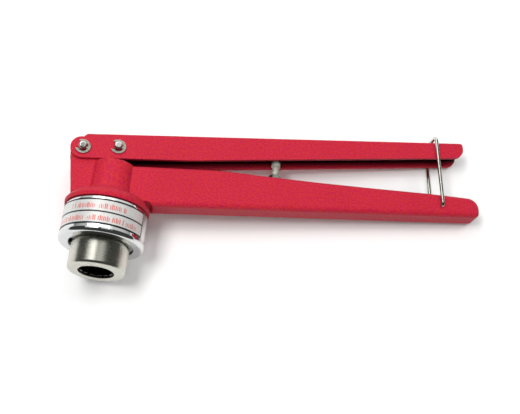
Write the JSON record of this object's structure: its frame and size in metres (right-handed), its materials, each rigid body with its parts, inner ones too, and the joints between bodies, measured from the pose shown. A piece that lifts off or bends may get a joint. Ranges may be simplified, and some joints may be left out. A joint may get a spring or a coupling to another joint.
{
  "type": "vial cap crimper",
  "caption": "Hand crimper for aluminium vial caps: red cast body and squeeze lever held shut by a wire bail, with a chrome collar and a steel crimping sleeve.",
  "frame": {"origin": "centre of the head's mouth, where the vial cap goes in, on the sleeve's end face", "axes": "+X from the head along the handles; +Y along the head's axis, away from the vial; +Z across the tool, up as it lies on its side"},
  "size_m": [0.258, 0.1249, 0.0502],
  "materials": {
    "red_coat": "powder coat, fine orange peel, satin",
    "chrome": "bright chrome plate",
    "label": "silver-grey printed film, satin",
    "brushed_steel": "turned stainless, fine circumferential brushing",
    "bright_steel": "ground and polished pin steel",
    "zinc_steel": "zinc plated, slightly dull",
    "spring_steel": "oiled spring steel",
    "tool_steel": "hardened and ground tool steel",
    "wire": "drawn stainless wire",
    "rubber": "matt black rubber"
  },
  "bodies": {
    "root": {"cast_body": "red_coat", "collar": "chrome", "size_label": "label", "crimp_sleeve": "brushed_steel", "snap_ring": "spring_steel", "fulcrum_ring": "spring_steel", "garter_ring": "rubber", "spring_seat": "zinc_steel", "return_spring": "spring_steel", "pivot_pin": "bright_steel", "pivot_pin_clips": "zinc_steel", "stop_lock_nut": "zinc_steel"},
    "lever": {"squeeze_lever": "red_coat", "drive_pin": "bright_steel", "drive_pin_clips": "zinc_steel"},
    "plunger": {"plunger_rod": "bright_steel", "wedge_cone": "tool_steel", "pad_lock_nut": "zinc_steel"},
    "pad": {"pressure_pad": "tool_steel"},
    "stop_screw": {"stop_screw": "zinc_steel"},
    "bail": {"wire_bail": "wire"},
    "jaw_1": {"jaw_1": "tool_steel"},
    "jaw_2": {"jaw_2": "tool_steel"},
    "jaw_3": {"jaw_3": "tool_steel"},
    "jaw_4": {"jaw_4": "tool_steel"},
    "jaw_5": {"jaw_5": "tool_steel"},
    "jaw_6": {"jaw_6": "tool_steel"},
    "jaw_7": {"jaw_7": "tool_steel"},
    "jaw_8": {"jaw_8": "tool_steel"}
  },
  "joints": [
    {"name": "lever_hinge", "type": "hinge", "parent": "root", "child": "lever", "pos_m": [-0.0204, 0.073, 0], "axis": [0, 0, -1], "range_deg": [0, 4], "stiffness_Nm_per_rad": 1.5, "springref_deg": -3.44},
    {"name": "plunger_slide", "type": "slide", "parent": "root", "child": "plunger", "axis": [0, -1, 0], "range_m": [0, 0.0015], "deforming": ["return_spring"]},
    {"name": "pad_adjust", "type": "slide", "parent": "plunger", "child": "pad", "axis": [0, -1, 0], "range_m": [0, 0.002]},
    {"name": "stop_adjust", "type": "slide", "parent": "root", "child": "stop_screw", "axis": [0, 1, 0], "range_m": [-0.004, 0.0022]},
    {"name": "bail_hinge", "type": "hinge", "parent": "root", "child": "bail", "pos_m": [0.2047, 0.0764, 0], "axis": [0, 0, -1], "range_deg": [0, 76]},
    {"name": "jaw_1_hinge", "type": "hinge", "parent": "root", "child": "jaw_1", "pos_m": [0.0133, 0.0125, 0], "axis": [0, 0, -1], "range_deg": [0, 7.2]},
    {"name": "jaw_2_hinge", "type": "hinge", "parent": "root", "child": "jaw_2", "pos_m": [0.0094, 0.0125, 0.0094], "axis": [0.7071, 0, -0.7071], "range_deg": [0, 7.2]},
    {"name": "jaw_3_hinge", "type": "hinge", "parent": "root", "child": "jaw_3", "pos_m": [0, 0.0125, 0.0133], "axis": [1, 0, 0], "range_deg": [0, 7.2]},
    {"name": "jaw_4_hinge", "type": "hinge", "parent": "root", "child": "jaw_4", "pos_m": [-0.0094, 0.0125, 0.0094], "axis": [0.7071, 0, 0.7071], "range_deg": [0, 7.2]},
    {"name": "jaw_5_hinge", "type": "hinge", "parent": "root", "child": "jaw_5", "pos_m": [-0.0133, 0.0125, 0], "axis": [0, 0, 1], "range_deg": [0, 7.2]},
    {"name": "jaw_6_hinge", "type": "hinge", "parent": "root", "child": "jaw_6", "pos_m": [-0.0094, 0.0125, -0.0094], "axis": [-0.7071, 0, 0.7071], "range_deg": [0, 7.2]},
    {"name": "jaw_7_hinge", "type": "hinge", "parent": "root", "child": "jaw_7", "pos_m": [0, 0.0125, -0.0133], "axis": [-1, 0, 0], "range_deg": [0, 7.2]},
    {"name": "jaw_8_hinge", "type": "hinge", "parent": "root", "child": "jaw_8", "pos_m": [0.0094, 0.0125, -0.0094], "axis": [-0.7071, 0, -0.7071], "range_deg": [0, 7.2]}
  ],
  "couplings": [
    {"joint": "plunger_slide", "follows": "lever_hinge", "m_per_rad": 0.02051},
    {"joint": "bail_hinge", "follows": "lever_hinge", "ratio": 19},
    {"joint": "jaw_1_hinge", "follows": "lever_hinge", "ratio": 1.776},
    {"joint": "jaw_2_hinge", "follows": "lever_hinge", "ratio": 1.776},
    {"joint": "jaw_3_hinge", "follows": "lever_hinge", "ratio": 1.776},
    {"joint": "jaw_4_hinge", "follows": "lever_hinge", "ratio": 1.776},
    {"joint": "jaw_5_hinge", "follows": "lever_hinge", "ratio": 1.776},
    {"joint": "jaw_6_hinge", "follows": "lever_hinge", "ratio": 1.776},
    {"joint": "jaw_7_hinge", "follows": "lever_hinge", "ratio": 1.776},
    {"joint": "jaw_8_hinge", "follows": "lever_hinge", "ratio": 1.776}
  ]
}
